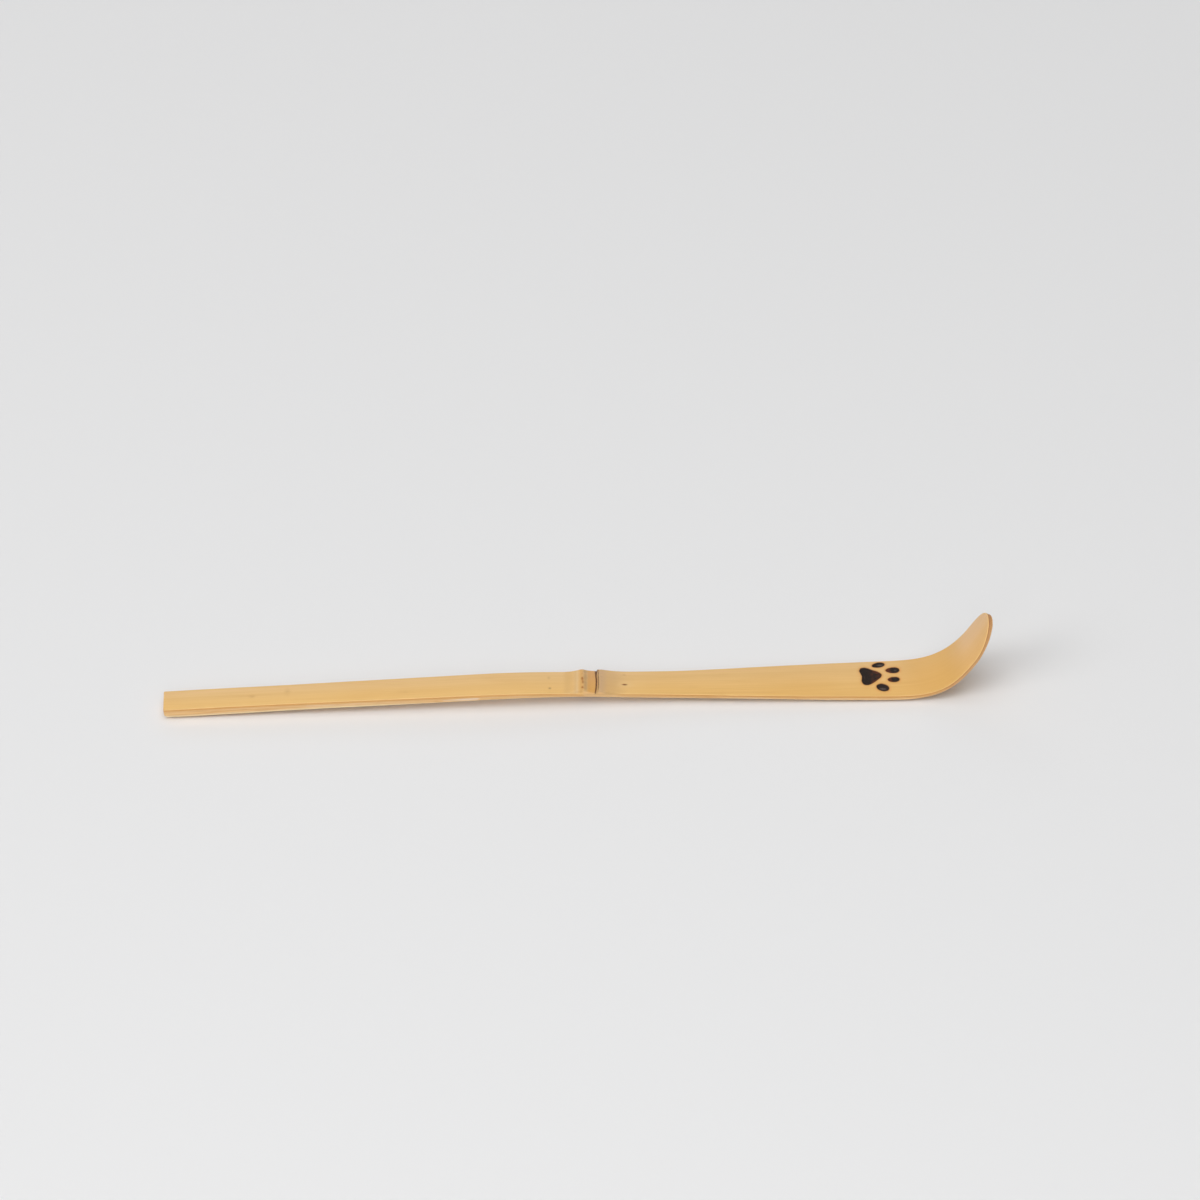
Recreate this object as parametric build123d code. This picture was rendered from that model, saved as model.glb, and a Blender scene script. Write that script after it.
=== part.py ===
from build123d import *
import math
import os

# Tea scoop: one split strip of bamboo, heat-bent at the front, whittled thin,
# resting on the underside of its tail and of its blade.
# Millimetres. +X runs from the tail to the tip, +Z is up, the skin side is on top.

# ---- driving dimensions -------------------------------------------------
STRIP_LENGTH = 187.35      # along the skin, tail cut to tip
TAIL_HEIGHT = 2.995        # skin arris above the table at the tail cut
CULM_RADIUS = 40.0         # radius of the cane the strip was split from
SIDE_DRAFT = 0.10          # each side is cut this much narrower at the underside
UNDER_FLAT = 0.52          # part of the underside's width that is flat, between two sloped facets
TIP_ROUND_LENGTH = 8.6     # half-ellipse at the front, measured along the strip
TIP_ROUND_HALF_WIDTH = 5.37
REST_TRIM = 0.0            # the two rest faces are cut in this plane

# slope of the skin in degrees at distances along the strip
SLOPE = [(0, 1.935), (20, 1.305), (45, 1.155), (65, 1.365), (85, -2.655), (100, -2.935),
         (120, -1.525), (140, -1.175), (155, -1.40), (161, 2.91), (165, 14.45),
         (169, 33.85), (173, 50.70), (177, 59.40), (181, 65.13), (185, 69.24),
         (187.35, 71.4), (192, 72.5)]
# width across the skin
WIDTH = [(0, 5.66), (20, 5.66), (45, 6.05), (70, 6.45), (90, 6.65), (100, 6.77),
         (110, 7.05), (120, 7.85), (132, 8.97), (145, 9.95), (158, 10.70),
         (168, 11.05), (178, 10.46), (184, 10.50), (192, 10.55)]
# height of the cut side, skin arris to lower arris
THICK = [(0, 2.34), (6, 2.52), (15, 2.48), (35, 2.15), (55, 1.95), (75, 1.64),
         (92, 1.16), (101, 1.30), (110, 1.35), (130, 1.22), (148, 1.42), (155, 1.40), (160, 1.36),
         (166, 1.17), (172, 1.10), (178, 0.98), (182, 0.84), (186, 0.80), (192, 0.78)]
# the whittled underside is convex: its middle stands this far below the lower arrises
BELLY = [(0, 0.69), (8, 0.705), (20, 0.55), (40, 0.36), (92, 0.28), (130, 0.44), (146, 0.62),
         (153, 0.65), (160, 0.63), (168, 0.33), (178, 0.10), (192, 0.06)]
# depth of the hard skin below the surface
RIND = [(0, 0.50), (92, 0.45), (160, 0.42), (178, 0.38), (192, 0.36)]

# the cane's joint: stations along the strip
RIDGE_START = 87.5
SCAR_START = 93.4
SCAR_END = 94.35
# height of the skin above the plain strip around the joint
SWELL = [(0, 0.0), (86.2, 0.0), (87.5, 0.08), (88.5, 0.24), (89.5, 0.54), (90.2, 0.76), (90.5, 0.81),
         (90.8, 0.75), (91.2, 0.60), (91.7, 0.46), (92.4, 0.34), (93.4, 0.22), (94.0, 0.72), (94.35, 0.74),
         (95.0, 0.63), (95.6, 0.52), (96.6, 0.34), (98.1, 0.14), (99.6, 0.03), (101.0, 0.0), (192, 0.0)]

# burnt marks: the charred floor of each sits below the skin
MARK_DEPTH = 0.22
CHAR_SINK = 0.06
PAD_OUTLINE = [(151.01, 2.15), (151.37, 2.95), (152.09, 3.13), (152.79, 2.94), (153.59, 2.46), (154.49, 2.03),
               (155.29, 1.48), (155.65, 0.85), (155.49, 0.22), (154.93, -0.42), (154.29, -1.0), (153.59, -1.56),
               (152.79, -2.0), (152.09, -2.06), (151.55, -1.78), (151.25, -1.0), (151.34, -0.2), (151.42, 0.45),
               (151.25, 1.2)]
# toe marks: centre along and across, half length, half width, turn in degrees, point (0 oval, 1 drop)
TOES = {
    "char_toe_far_outer": (155.27, 3.95, 1.41, 0.84, 13.4, 0.19),
    "char_toe_far_inner": (158.22, 2.16, 1.48, 1.06, 1.3, 0.36),
    "char_toe_near_inner": (158.22, -0.67, 1.26, 0.80, 1.0, 0.20),
    "char_toe_near_outer": (155.63, -2.89, 1.37, 0.99, -20.3, 0.03),
}

# ---- curves along the strip ----------------------------------------------


def smooth(points):
    """Monotone cubic through the points."""
    xs = [p[0] for p in points]
    ys = [p[1] for p in points]
    n = len(xs)
    h = [xs[i + 1] - xs[i] for i in range(n - 1)]
    d = [(ys[i + 1] - ys[i]) / h[i] for i in range(n - 1)]
    m = [d[0]] + [0.0] * (n - 2) + [d[-1]]
    for i in range(1, n - 1):
        if d[i - 1] * d[i] > 0:
            w1, w2 = 2 * h[i] + h[i - 1], h[i] + 2 * h[i - 1]
            m[i] = (w1 + w2) / (w1 / d[i - 1] + w2 / d[i])

    def at(x):
        x = min(max(x, xs[0]), xs[-1])
        i = 0
        while i < n - 2 and x > xs[i + 1]:
            i += 1
        t = (x - xs[i]) / h[i]
        return ((1 + 2 * t) * (1 - t) ** 2 * ys[i] + t * (1 - t) ** 2 * h[i] * m[i]
                + t * t * (3 - 2 * t) * ys[i + 1] + t * t * (t - 1) * h[i] * m[i + 1])

    return at


slope, width, thick, belly, rind, swell = (smooth(c) for c in (SLOPE, WIDTH, THICK, BELLY, RIND, SWELL))

STEP = 0.05
path = [(0.0, TAIL_HEIGHT)]
while len(path) * STEP <= 192.0:
    a = math.radians(slope((len(path) - 0.5) * STEP))
    path.append((path[-1][0] + STEP * math.cos(a), path[-1][1] + STEP * math.sin(a)))


def place(s):
    """Point of the skin's arris line at s, and the slope there."""
    i = max(0, min(int(s / STEP), len(path) - 2))
    f = s / STEP - i
    (x0, z0), (x1, z1) = path[i], path[i + 1]
    return x0 + f * (x1 - x0), z0 + f * (z1 - z0), math.radians(slope(s))


def spot(s, y, n):
    """Point at s along the strip, y across it and n above its arris line."""
    x, z, a = place(s)
    return Vector(x - n * math.sin(a), y, z + n * math.cos(a))


def crown(s, y):
    """The skin is the outside of a round cane: its height above the arris line."""
    return (width(s) ** 2 / 8 - y * y / 2) / CULM_RADIUS


def section(s, half_top, half_low, up, down, deeper=0.0):
    """Closed outline across the strip: crowned top raised by up, lower corners at down, middle deeper still."""
    e, m = crown(s, half_top) + up, crown(s, 0) + up
    low = [spot(s, half_low, down), spot(s, -half_low, down)]
    if deeper:
        flat = UNDER_FLAT * half_low
        low[1:1] = [spot(s, flat, down - deeper), spot(s, -flat, down - deeper)]
    corners = [spot(s, half_top, e)] + low + [spot(s, -half_top, e)]
    top = ThreePointArc(corners[-1], spot(s, 0, m), corners[0])
    return Face(Wire([top] + [Line(a, b) for a, b in zip(corners, corners[1:])]))


def strip(stations, raised):
    """Solid length of the strip, skin to underside."""
    return loft([section(s, width(s) / 2, width(s) / 2 - SIDE_DRAFT,
                         swell(s) if raised else 0.0, -thick(s), belly(s)) for s in stations])


def shell(stations, up, down_from):
    """Wide crowned slab between two levels below the skin."""
    out = []
    for s in stations:
        e_up, m_up = crown(s, 5.2) + up, crown(s, 0) + up
        e_dn, m_dn = crown(s, 5.2) + down_from, crown(s, 0) + down_from
        out.append(Face(Wire([
            ThreePointArc(spot(s, -5.2, e_up), spot(s, 0, m_up), spot(s, 5.2, e_up)),
            Line(spot(s, 5.2, e_up), spot(s, 5.2, e_dn)),
            ThreePointArc(spot(s, 5.2, e_dn), spot(s, 0, m_dn), spot(s, -5.2, e_dn)),
            Line(spot(s, -5.2, e_dn), spot(s, -5.2, e_up)),
        ])))
    return loft(out)


BEND = [160.0, 162.0, 164.0, 166.0, 168.0, 170.0, 172.0, 174.0, 176.0, 178.0, 180.0, 182.0,
        184.0, 186.0, 188.0, 191.0]
BLADE = [102.0, 107.0, 112.0, 118.0, 124.0, 130.0, 136.0, 142.0, 148.0, 153.0, 157.0] + BEND
HANDLE = [0.0, 8.0, 17.0, 27.0, 37.0, 47.0, 57.0, 65.0, 71.0, 77.0, 83.0]

# ---- front end: rounded like a tongue --------------------------------------
tip_mid = STRIP_LENGTH - TIP_ROUND_LENGTH / 2
tx, tz, ta = place(tip_mid)
tip_plane = Plane(origin=(tx, 0, tz), x_dir=(math.cos(ta), 0, math.sin(ta)),
                  z_dir=(-math.sin(ta), 0, math.cos(ta)))
back_to = TIP_ROUND_LENGTH / 2
tongue = Pos(-back_to, 0) * Ellipse(TIP_ROUND_LENGTH, TIP_ROUND_HALF_WIDTH)
beyond = Pos(8 - back_to, 0) * Rectangle(16, 24) - tongue
tip_waste = extrude(tip_plane * beyond, amount=5, both=True)
under_table = Pos(90, 0, -10 + REST_TRIM) * Box(400, 60, 20)

# ---- flesh of the cane wall, whole length -----------------------------------
all_stations = [0.0, 8.0, 17.0, 27.0, 37.0, 47.0, 57.0, 65.0, 71.0, 77.0, 83.0, 89.0, 95.0] + BLADE
below_skin = loft([section(s, 9.0, 9.0, -rind(s), -9.0) for s in
                   [-1.0 if s == 0 else s for s in all_stations[:-1]] + [192.0]])
flesh = (strip(all_stations, False) & below_skin) - tip_waste - under_table

# ---- skin pieces -------------------------------------------------------------
handle_skin = strip(HANDLE + [85.5, 86.5, RIDGE_START], True) - below_skin
ridge = strip([RIDGE_START, 88.2, 88.9, 89.5, 90.0, 90.5, 90.9, 91.3, 91.8, 92.5, SCAR_START], True) - below_skin
scar = strip([SCAR_START, 93.6, 93.85, 94.1, SCAR_END], True) - below_skin
blade_skin = (strip([SCAR_END, 94.9, 95.6, 96.5, 97.5, 98.5, 99.5, 100.6] + BLADE[1:], True) - below_skin) - tip_waste

# ---- burnt marks ---------------------------------------------------------------
MARK_STATIONS = [149.0, 151.0, 153.0, 155.0, 157.0, 159.0, 161.0, 163.0]


def drop(centre_s, centre_y, half_len, half_wid, turn, point):
    """Oval outline whose tail end is drawn to a point."""
    out = []
    for k in range(16):
        t = 2 * math.pi * k / 16
        u, v = half_len * math.cos(t), half_wid * math.sin(t)
        v *= 1 - point * 0.5 * (1 - math.cos(t))
        r = math.radians(turn)
        out.append((centre_s + u * math.cos(r) - v * math.sin(r),
                    centre_y + u * math.sin(r) + v * math.cos(r)))
    return out


def prism(outline):
    """Upright plug through the skin, on an outline given along and across the strip."""
    pts = [(place(s)[0], y) for s, y in outline]
    with BuildSketch() as sk:
        with BuildLine():
            Spline(*pts, periodic=True)
        make_face()
    return extrude(Pos(0, 0, -2) * sk.sketch, amount=10)


marks = {"char_pad": PAD_OUTLINE}
for name, shape in TOES.items():
    marks[name] = drop(*shape)
burnt = shell(MARK_STATIONS, -CHAR_SINK, -MARK_DEPTH)
opened = shell(MARK_STATIONS, 2.0, -MARK_DEPTH)
chars = {}
for name, outline in marks.items():
    plug = prism(outline)
    chars[name] = plug & burnt
    blade_skin = blade_skin - (plug & opened)

# ---- set the origin under the middle and write the pieces -------------------------
pieces = {
    "bamboo_flesh": flesh,
    "handle_rind": handle_skin,
    "nodal_ridge": ridge,
    "sheath_scar": scar,
    "blade_rind": blade_skin,
    **chars,
}
boxes = [p.bounding_box() for p in pieces.values()]
x_mid = (min(b.min.X for b in boxes) + max(b.max.X for b in boxes)) / 2

os.makedirs("parts", exist_ok=True)
for node, shape in pieces.items():
    solids = shape.solids()
    moved = [Pos(-x_mid, 0, 0) * s for s in solids]
    export_step(moved[0] if len(moved) == 1 else Compound(children=moved), "parts/" + node + ".step")
    print(node, len(solids), [round(s.volume, 3) for s in solids], [s.is_valid for s in solids])
print("x_mid", round(x_mid, 4))
print("low z", round(min(b.min.Z for b in boxes), 4), "high z", round(max(b.max.Z for b in boxes), 4))
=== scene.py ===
import math

import bpy
import numpy as np
from mathutils import Matrix


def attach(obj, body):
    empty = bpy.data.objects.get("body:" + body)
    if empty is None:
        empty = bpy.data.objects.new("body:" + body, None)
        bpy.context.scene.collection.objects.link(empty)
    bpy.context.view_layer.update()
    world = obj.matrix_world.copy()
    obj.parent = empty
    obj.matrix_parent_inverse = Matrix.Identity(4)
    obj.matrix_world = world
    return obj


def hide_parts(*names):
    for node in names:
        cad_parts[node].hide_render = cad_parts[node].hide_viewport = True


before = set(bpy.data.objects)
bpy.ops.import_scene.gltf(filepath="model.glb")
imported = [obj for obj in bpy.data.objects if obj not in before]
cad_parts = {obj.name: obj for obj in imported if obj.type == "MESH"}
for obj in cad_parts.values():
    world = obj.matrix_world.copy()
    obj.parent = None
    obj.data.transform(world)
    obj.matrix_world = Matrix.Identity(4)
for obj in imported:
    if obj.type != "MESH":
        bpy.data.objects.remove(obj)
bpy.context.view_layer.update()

# ---------------------------------------------------------------------------
# Shape of the strip, in millimetres: s runs along the skin from the tail cut,
# y runs across the strip, n stands off the line through the skin's two arrises.
# ---------------------------------------------------------------------------
MM = 0.001
X_MID = 89.3461
STRIP_LENGTH = 187.35
TAIL_HEIGHT = 2.995
CULM_RADIUS = 40.0
SIDE_DRAFT = 0.10
TIP_ROUND = 8.6
SLOPE = [(0, 1.935), (20, 1.305), (45, 1.155), (65, 1.365), (85, -2.655), (100, -2.935),
         (120, -1.525), (140, -1.175), (155, -1.40), (161, 2.91), (165, 14.45),
         (169, 33.85), (173, 50.70), (177, 59.40), (181, 65.13), (185, 69.24),
         (187.35, 71.4), (192, 72.5)]
WIDTH = [(0, 5.66), (20, 5.66), (45, 6.05), (70, 6.45), (90, 6.65), (100, 6.77),
         (110, 7.05), (120, 7.85), (132, 8.97), (145, 9.95), (158, 10.70),
         (168, 11.05), (178, 10.46), (184, 10.50), (192, 10.55)]
THICK = [(0, 2.34), (6, 2.52), (15, 2.48), (35, 2.15), (55, 1.95), (75, 1.64),
         (92, 1.16), (101, 1.30), (110, 1.35), (130, 1.22), (148, 1.42), (155, 1.40), (160, 1.36),
         (166, 1.17), (172, 1.10), (178, 0.98), (182, 0.84), (186, 0.80), (192, 0.78)]
# the underside is convex: its middle stands this far below the lower arrises
BELLY = [(0, 0.69), (8, 0.705), (20, 0.55), (40, 0.36), (92, 0.28), (130, 0.44), (146, 0.62),
         (153, 0.65), (160, 0.63), (168, 0.33), (178, 0.10), (192, 0.06)]
RIND = [(0, 0.50), (92, 0.45), (160, 0.42), (178, 0.38), (192, 0.36)]
# ridge of the cane's joint, and the lip that the leaf sheath left beside it
RIDGE = [(85, 0.0), (86.2, 0.0), (87.5, 0.08), (88.5, 0.24), (89.5, 0.54), (90.2, 0.76),
         (90.5, 0.81), (90.8, 0.75), (91.2, 0.60), (91.7, 0.46), (92.4, 0.34), (93.3, 0.26),
         (95, 0.14), (97, 0.08), (99, 0.02), (101, 0.0)]
LIP = [(-1.0, 0.0), (-0.22, 0.0), (-0.10, -0.05), (0.0, -0.15), (0.10, 0.06), (0.26, 0.46),
       (0.40, 0.54), (0.50, 0.50), (0.58, 0.45), (0.68, 0.52), (0.85, 0.55), (1.3, 0.50),
       (2.0, 0.40), (3.0, 0.25), (4.5, 0.09), (6.0, 0.02), (7.0, 0.0)]
# width of the facet shaved along the near edge
SHAVE = [(84, 0.44), (89.2, 0.46), (90.2, 0.58), (91.0, 0.46), (92.0, 0.27), (93.2, 0.18), (95.0, 0.16), (101, 0.16)]
RIDGE_LEAN = 0.046
SCAR_AT, SCAR_LEAN = 93.50, 0.085
SCAR_WAVER = [(-3.8, -0.05), (-3.0, 0.0), (-2.3, 0.07), (-0.84, 0.10), (0.42, 0.08), (1.1, -0.02),
              (1.7, -0.08), (2.5, -0.10), (3.3, -0.11), (3.8, -0.12)]
RIDGE_START = 87.5
PAD = [(151.01, 2.15), (151.37, 2.95), (152.09, 3.13), (152.79, 2.94), (153.59, 2.46), (154.49, 2.03),
       (155.29, 1.48), (155.65, 0.85), (155.49, 0.22), (154.93, -0.42), (154.29, -1.0), (153.59, -1.56),
       (152.79, -2.0), (152.09, -2.06), (151.55, -1.78), (151.25, -1.0), (151.34, -0.2), (151.42, 0.45),
       (151.25, 1.2)]
TOES = {
    "char_toe_far_outer": (155.27, 3.95, 1.41, 0.84, 13.4, 0.19),
    "char_toe_far_inner": (158.22, 2.16, 1.48, 1.06, 1.3, 0.36),
    "char_toe_near_inner": (158.22, -0.67, 1.26, 0.80, 1.0, 0.20),
    "char_toe_near_outer": (155.63, -2.89, 1.37, 0.99, -20.3, 0.03),
}


def smooth(points):
    """Monotone cubic through the points."""
    xs = np.array([p[0] for p in points], float)
    ys = np.array([p[1] for p in points], float)
    h = np.diff(xs)
    d = np.diff(ys) / h
    m = np.zeros_like(xs)
    m[0], m[-1] = d[0], d[-1]
    for i in range(1, len(xs) - 1):
        if d[i - 1] * d[i] > 0:
            w1, w2 = 2 * h[i] + h[i - 1], h[i] + 2 * h[i - 1]
            m[i] = (w1 + w2) / (w1 / d[i - 1] + w2 / d[i])

    def at(x):
        x = np.clip(np.asarray(x, float), xs[0], xs[-1])
        i = np.clip(np.searchsorted(xs, x, side="right") - 1, 0, len(xs) - 2)
        t = (x - xs[i]) / h[i]
        return ((1 + 2 * t) * (1 - t) ** 2 * ys[i] + t * (1 - t) ** 2 * h[i] * m[i]
                + t * t * (3 - 2 * t) * ys[i + 1] + t * t * (t - 1) * h[i] * m[i + 1])

    return at


slope, width, thick, belly, rind = smooth(SLOPE), smooth(WIDTH), smooth(THICK), smooth(BELLY), smooth(RIND)
ridge_form, lip_form, waver, shave_form = smooth(RIDGE), smooth(LIP), smooth(SCAR_WAVER), smooth(SHAVE)

STEP = 0.05
_mid = np.radians(slope((np.arange(3840) + 0.5) * STEP))
PS = np.arange(3841) * STEP
PX = np.concatenate([[0.0], np.cumsum(STEP * np.cos(_mid))])
PZ = TAIL_HEIGHT + np.concatenate([[0.0], np.cumsum(STEP * np.sin(_mid))])


def lay(s, y, n):
    """Strip coordinates to the row frame, in metres."""
    a = np.radians(slope(s))
    x, z = np.interp(s, PS, PX), np.interp(s, PS, PZ)
    return np.stack([x - X_MID - n * np.sin(a), y + 0 * s, z + n * np.cos(a)], -1) * MM


def crown(s, y):
    return (width(s) ** 2 / 8 - y * y / 2) / CULM_RADIUS


def step(a, b, x):
    t = np.clip((x - a) / (b - a), 0, 1)
    return t * t * (3 - 2 * t)


def hill(x, at, wide):
    return np.exp(-(((x - at) / wide) ** 2))


def noise(x, y, seed):
    """Smooth seeded noise from -1 to 1."""
    table = np.random.RandomState(seed).uniform(-1, 1, 4096)
    x, y = np.broadcast_arrays(np.asarray(x, float), np.asarray(y, float))
    ix, iy = np.floor(x).astype(np.int64), np.floor(y).astype(np.int64)
    fx, fy = x - ix, y - iy
    fx, fy = fx * fx * fx * (fx * (fx * 6 - 15) + 10), fy * fy * fy * (fy * (fy * 6 - 15) + 10)

    def at(i, j):
        return table[((i * 73856093) ^ (j * 19349663)) & 4095]

    return ((at(ix, iy) * (1 - fx) + at(ix + 1, iy) * fx) * (1 - fy)
            + (at(ix, iy + 1) * (1 - fx) + at(ix + 1, iy + 1) * fx) * fy)


def scar_line(y):
    """Where the dark scar crosses the strip: it leans and wavers."""
    return (SCAR_AT + SCAR_LEAN * y + waver(y) + 0.022 * noise(y * 2.6, 3.5, 12)
            + 0.012 * noise(y * 7.0, 1.5, 13))


def swell(s, y):
    """Height of the joint's ridge and of the scar's lip above the plain skin."""
    ragged = 1 + 0.16 * noise(y * 2.2, 8.2, 15) * hill(s, 94.0, 0.8)
    wob = 0.10 * noise(y * 0.6, 4.4, 16)
    r = ridge_form(s - RIDGE_LEAN * y - wob) * (1 + 0.06 * noise(y * 1.3 + 9, 0.3, 17))
    # the near edge was shaved down: ridge and lip run out towards it
    worn = 1 - 0.92 * step(0.0, 1.0, 1 - (width(s) / 2 + y) / shave_form(s))
    return (r + lip_form(s - scar_line(y)) * ragged) * worn


def skin_relief(s, y):
    """Slow waves left by scraping, and faint ribs of the fibres."""
    return (0.010 * noise(s / 13.0, y / 2.6 + 7, 21) + 0.0055 * noise(s / 34.0, y / 0.52 + 31, 22)
            + 0.0028 * noise(s / 11.0, y / 0.25 + 63, 23))


# ---------------------------------------------------------------------------
# Burnt marks
# ---------------------------------------------------------------------------
def closed_curve(points, per=10):
    """Smooth closed line through the points."""
    p = np.array(points, float)
    a, b, c, d = (np.roll(p, k, 0) for k in (1, 0, -1, -2))
    out = []
    for i in range(len(p)):
        for k in range(per):
            t = k / per
            out.append(0.5 * (2 * b[i] + (c[i] - a[i]) * t + (2 * a[i] - 5 * b[i] + 4 * c[i] - d[i]) * t * t
                              + (3 * b[i] - a[i] - 3 * c[i] + d[i]) * t ** 3))
    return np.array(out)


def drop(cs, cy, half_len, half_wid, turn, point):
    out = []
    for k in range(16):
        t = 2 * math.pi * k / 16
        u, v = half_len * math.cos(t), half_wid * math.sin(t)
        v *= 1 - point * 0.5 * (1 - math.cos(t))
        r = math.radians(turn)
        out.append((cs + u * math.cos(r) - v * math.sin(r), cy + u * math.sin(r) + v * math.cos(r)))
    return out


MARKS = {"char_pad": closed_curve(PAD)}
for _name, _shape in TOES.items():
    MARKS[_name] = closed_curve(drop(*_shape))


def distance_to(loop, s, y):
    """Signed distance from a closed line, negative inside."""
    shape = np.shape(s)
    p = np.stack([np.ravel(s), np.ravel(y)], -1)
    a, b = loop, np.roll(loop, -1, 0)
    ab = b - a
    best = np.full(len(p), 1e9)
    inside = np.zeros(len(p), bool)
    for (ax, ay), (dx, dy) in zip(a, ab):
        px, py = p[:, 0] - ax, p[:, 1] - ay
        t = np.clip((px * dx + py * dy) / (dx * dx + dy * dy + 1e-12), 0, 1)
        best = np.minimum(best, np.hypot(px - t * dx, py - t * dy))
        crosses = (ay > p[:, 1]) != (ay + dy > p[:, 1])
        inside ^= crosses & (p[:, 0] < ax + dx * (p[:, 1] - ay) / (dy if abs(dy) > 1e-12 else 1e-12))
    return np.where(inside, -best, best).reshape(shape)


def mark_distance(s, y):
    """Distance to the nearest burnt mark; far from them it is simply large."""
    out = np.full(np.shape(s), 9.0)
    near = (s > 149.3) & (s < 161.5)
    if near.any():
        sn, yn = s[near], y[near]
        d = np.full(sn.shape, 9.0)
        for loop in MARKS.values():
            d = np.minimum(d, distance_to(loop, sn, yn))
        out[near] = d
    return out


# ---------------------------------------------------------------------------
# Mesh building
# ---------------------------------------------------------------------------
class Sheet:
    """Collects vertices with their strip coordinates, faces, and a flat layout for each face."""

    def __init__(self):
        self.co, self.grain, self.extra = [], [], []
        self.count = 0
        self.faces, self.flat, self.smooth = [], [], []
        self.crisp = set()

    def add(self, s, y, n, side=0.0, end=0.0):
        s, y, n = np.broadcast_arrays(np.asarray(s, float), np.asarray(y, float), np.asarray(n, float))
        shape = s.shape
        p = lay(s.ravel(), y.ravel(), n.ravel())
        p[:, 2] = np.maximum(p[:, 2], 0.0)
        self.co.append(p)
        self.grain.append(np.stack([s.ravel(), y.ravel(), n.ravel()], -1))
        self.extra.append(np.stack([np.broadcast_to(side, shape).ravel(), np.broadcast_to(end, shape).ravel()], -1))
        first = self.count
        self.count += s.size
        return np.arange(first, self.count).reshape(shape)

    def face(self, corners, flat, smooth=True):
        self.faces.append([int(c) for c in corners])
        self.flat.append(flat)
        self.smooth.append(smooth)

    def quads(self, ids, flat):
        """Quads over a grid of vertex numbers; flat holds each vertex's place on the layout."""
        rows, cols = ids.shape
        for i in range(rows - 1):
            for j in range(cols - 1):
                self.face((ids[i, j], ids[i + 1, j], ids[i + 1, j + 1], ids[i, j + 1]),
                          (flat[i, j], flat[i + 1, j], flat[i + 1, j + 1], flat[i, j + 1]))

    def zip(self, a, pa, fa, b, pb, fb):
        """Triangles between two rows of different counts, ordered by pa and pb."""
        i = j = 0
        while i < len(a) - 1 or j < len(b) - 1:
            if j == len(b) - 1 or (i < len(a) - 1 and pa[i + 1] <= pb[j + 1]):
                self.face((a[i], b[j], a[i + 1]), (fa[i], fb[j], fa[i + 1]))
                i += 1
            else:
                self.face((a[i], b[j], b[j + 1]), (fa[i], fb[j], fb[j + 1]))
                j += 1

    def finish(self, name, material, rows=3, colour=None):
        co = np.concatenate(self.co)
        grain = np.concatenate(self.grain)
        extra = np.concatenate(self.extra)
        me = bpy.data.meshes.new(name)
        me.from_pydata(co.tolist(), [], self.faces)
        me.update()
        g = me.attributes.new("grain", "FLOAT_VECTOR", "POINT")
        g.data.foreach_set("vector", grain.astype(np.float32).ravel())
        cap = me.attributes.new("cap", "FLOAT", "FACE")
        cap.data.foreach_set("value", 1.0 - np.array(self.smooth, np.float32))
        if self.crisp:
            ends = np.zeros(len(me.edges) * 2, np.int64)
            me.edges.foreach_get("vertices", ends)
            sharp = me.attributes.new("sharp_edge", "BOOLEAN", "EDGE")
            sharp.data.foreach_set("value", np.array([(min(a, b), max(a, b)) in self.crisp for a, b in ends.reshape(-1, 2)], bool))
        for key, column in (("side", 0), ("cut_end", 1)):
            at = me.attributes.new(key, "FLOAT", "POINT")
            at.data.foreach_set("value", extra[:, column].astype(np.float32))
        for key, value in (colour(grain, extra) if colour else {}).items():
            at = me.attributes.new(key, "FLOAT", "POINT")
            at.data.foreach_set("value", np.asarray(value, np.float32))
        # flat layout: the strip is cut into lengths that lie one above the other
        places = [np.array(f, float) for f in self.flat]
        low = min(p[:, 0].min() for p in places)
        high = max(p[:, 0].max() for p in places)
        across_low = min(p[:, 1].min() for p in places)
        across = max(p[:, 1].max() for p in places) - across_low
        length = (high - low) / rows
        gap = 0.25
        uv = me.uv_layers.new(name="OFBake")
        out = np.zeros((len(me.loops), 2))
        k = 0
        for p in places:
            r = min(int((p[:, 0].mean() - low) / length), rows - 1)
            u = (p[:, 0] - low - r * length + gap) / (length + 2 * gap)
            v = (r * (across + gap) + p[:, 1] - across_low + gap / 2) / (rows * (across + gap))
            out[k:k + len(p), 0], out[k:k + len(p), 1] = u, v
            k += len(p)
        uv.data.foreach_set("uv", np.clip(out, 0, 1).ravel())
        me.polygons.foreach_set("use_smooth", np.array(self.smooth, bool))
        ob = bpy.data.objects.new(name, me)
        bpy.context.scene.collection.objects.link(ob)
        bpy.context.view_layer.objects.active = ob
        ob.select_set(True)
        bpy.ops.object.mode_set(mode="EDIT")
        bpy.ops.mesh.select_all(action="SELECT")
        bpy.ops.mesh.normals_make_consistent(inside=False)
        bpy.ops.object.mode_set(mode="OBJECT")
        ob.select_set(False)
        me.materials.append(material)
        return ob


def spread(lo, hi, gap):
    return np.linspace(lo, hi, max(2, int(round((hi - lo) / gap)) + 1))


def lengths(*runs):
    out = []
    for lo, hi, gap in runs:
        out.extend(spread(lo, hi, gap)[:-1].tolist())
    out.append(runs[-1][1])
    return np.array(out)


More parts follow.
